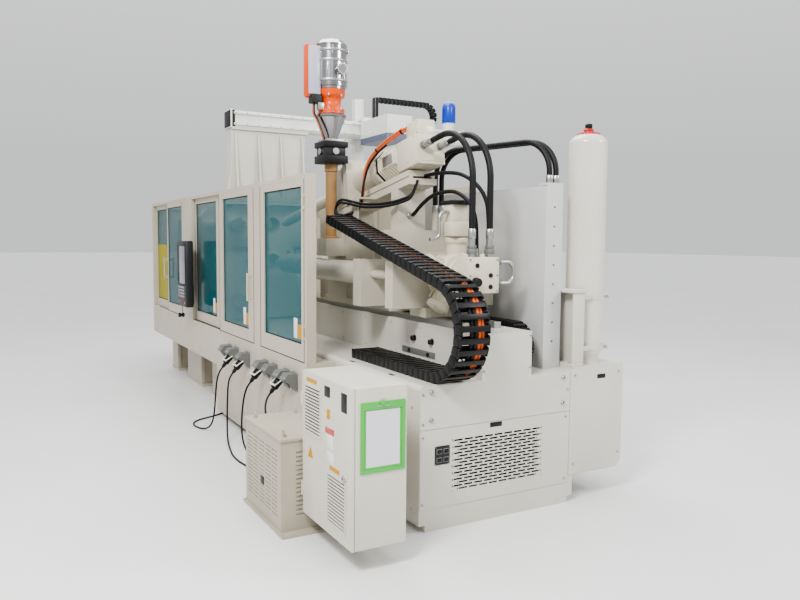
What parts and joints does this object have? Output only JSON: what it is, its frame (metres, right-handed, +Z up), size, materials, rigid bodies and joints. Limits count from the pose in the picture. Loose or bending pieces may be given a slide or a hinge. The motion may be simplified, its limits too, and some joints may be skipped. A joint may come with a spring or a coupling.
{
  "type": "injection moulding machine",
  "caption": "Horizontal two-component injection moulding machine with sliding guards, clamp, inclined second unit, hopper, robot beam, energy chain and side cabinets.",
  "frame": {"origin": "on the floor under the mould face of the fixed platen, on the machine's centreline", "axes": "+X along the machine to the injection end, -Y to the operator's side, +Z up"},
  "size_m": [6.556, 3.669, 3.279],
  "materials": {
    "machine_paint": "warm cream powder coat, satin",
    "base_paint": "pale cream enamel, satin",
    "cabinet_paint": "pale cream powder coat, satin",
    "casting_paint": "cream enamel over a machined casting",
    "ground_steel": "ground and hardened",
    "chromed_bar": "hard chromed and polished",
    "sheet_steel": "dull galvanised sheet",
    "glazing": "tinted polycarbonate sheet",
    "motor_paint": "cream enamel on a casting",
    "band_cover": "coated sheet, warmed dull",
    "amber_tube": "translucent amber plastic",
    "loader_steel": "polished stainless sheet",
    "hose_rubber": "black, satin",
    "chain_plastic": "black moulded polyamide",
    "cord_black": "black jacket, satin",
    "plug_black": "black moulded",
    "socket_grey": "grey die casting",
    "stop_red": "red moulded",
    "panel_black": "dark moulded housing",
    "holder_green": "green plastic frame",
    "bottle_paint": "cream enamel, glossy",
    "robot_paint": "white powder coat"
  },
  "bodies": {
    "frame": {"clamp_base": "machine_paint", "injection_base": "base_paint", "front_skirt": "machine_paint", "end_plates": "base_paint", "grille": "sheet_steel", "fixed_platen": "casting_paint", "cylinder_platen": "casting_paint", "tie_bars": "chromed_bar", "clamp_cylinder": "casting_paint", "guard_frame": "machine_paint", "fixed_window": "glazing", "rear_guard": "machine_paint", "splash_panel": "sheet_steel", "accumulator": "bottle_paint", "accumulator_bracket": "base_paint", "cabinet_body": "cabinet_paint", "document_holder": "holder_green", "transformer_box": "cabinet_paint", "socket_boxes": "socket_grey", "cord_plugs": "plug_black", "robot_riser": "robot_paint", "robot_beam": "robot_paint", "injection_rails": "ground_steel", "supply_hoses": "hose_rubber", "energy_chain": "chain_plastic", "cord_a": "cord_black", "cord_b": "cord_black", "cord_c": "cord_black", "cord_d": "cord_black"},
    "stop_button": {"stop_button": "stop_red"},
    "cabinet_door": {"cabinet_door": "cabinet_paint"},
    "control_panel": {"control_panel": "panel_black"},
    "mould_gate": {"gate_frame": "machine_paint", "gate_window": "glazing"},
    "inner_door": {"inner_door_frame": "machine_paint", "inner_door_window": "glazing"},
    "outer_door": {"outer_door_frame": "machine_paint", "outer_door_window": "glazing"},
    "service_door": {"service_door_frame": "machine_paint", "service_door_window": "glazing"},
    "moving_platen": {"moving_platen": "casting_paint", "clamp_piston": "chromed_bar"},
    "ejector": {"ejector": "ground_steel"},
    "carriage": {"carriage_frame": "casting_paint", "barrel": "ground_steel", "heater_bands": "band_cover", "injection_cylinders": "casting_paint", "second_support": "casting_paint", "drop_tube": "amber_tube", "hopper_loader": "loader_steel", "unit_hoses": "hose_rubber"},
    "crosshead": {"crosshead": "casting_paint", "screw_motor": "motor_paint", "motor_pipes": "ground_steel"},
    "main_screw": {"main_screw": "chromed_bar"},
    "second_unit": {"second_housing": "casting_paint", "second_motor": "motor_paint"},
    "second_screw": {"second_screw": "ground_steel"},
    "robot_carriage": {"robot_carriage": "robot_paint"},
    "robot_arm": {"robot_arm": "robot_paint"}
  },
  "joints": [
    {"name": "clamp_close", "type": "slide", "parent": "frame", "child": "moving_platen", "axis": [1, 0, 0], "range_m": [0, 0.4]},
    {"name": "ejector_stroke", "type": "slide", "parent": "moving_platen", "child": "ejector", "axis": [1, 0, 0], "range_m": [0, 0.1]},
    {"name": "gate_slide", "type": "slide", "parent": "frame", "child": "mould_gate", "axis": [-1, 0, 0], "range_m": [0, 0.72]},
    {"name": "inner_door_slide", "type": "slide", "parent": "frame", "child": "inner_door", "axis": [1, 0, 0], "range_m": [0, 0.95]},
    {"name": "outer_door_slide", "type": "slide", "parent": "frame", "child": "outer_door", "axis": [-1, 0, 0], "range_m": [0, 0.95]},
    {"name": "service_door_hinge", "type": "hinge", "parent": "frame", "child": "service_door", "pos_m": [3.0185, -0.777, 0], "axis": [0, 0, 1], "range_deg": [0, 100]},
    {"name": "cabinet_door_hinge", "type": "hinge", "parent": "frame", "child": "cabinet_door", "pos_m": [3.858, -1.12, 0], "axis": [0, 0, 1], "range_deg": [-90, 0]},
    {"name": "panel_swivel", "type": "hinge", "parent": "frame", "child": "control_panel", "pos_m": [-0.06, -0.797, 0], "axis": [0, 0, 1], "range_deg": [-35, 0]},
    {"name": "stop_press", "type": "slide", "parent": "frame", "child": "stop_button", "axis": [-1, 0, 0], "range_m": [0, 0.008], "stiffness_N_per_m": 800, "springref_m": -0.002},
    {"name": "carriage_slide", "type": "slide", "parent": "frame", "child": "carriage", "axis": [1, 0, 0], "range_m": [-0.37, 0.05], "deforming": ["energy_chain", "supply_hoses"]},
    {"name": "injection_stroke", "type": "slide", "parent": "carriage", "child": "crosshead", "axis": [1, 0, 0], "range_m": [-0.25, 0], "deforming": ["unit_hoses"]},
    {"name": "screw_spin", "type": "hinge", "parent": "crosshead", "child": "main_screw", "pos_m": [3, 0, 1.4], "axis": [1, 0, 0], "continuous": true},
    {"name": "second_slide", "type": "slide", "parent": "carriage", "child": "second_unit", "axis": [0.9863, 0, 0.165], "range_m": [-0.04, 0.06]},
    {"name": "second_screw_spin", "type": "hinge", "parent": "second_unit", "child": "second_screw", "pos_m": [2.15, 0, 2.055], "axis": [0.9863, 0, 0.165], "continuous": true},
    {"name": "robot_traverse", "type": "slide", "parent": "frame", "child": "robot_carriage", "axis": [0, 1, 0], "range_m": [-1, 0.05]},
    {"name": "robot_vertical", "type": "slide", "parent": "robot_carriage", "child": "robot_arm", "axis": [0, 0, 1], "range_m": [-0.8, 0]}
  ]
}
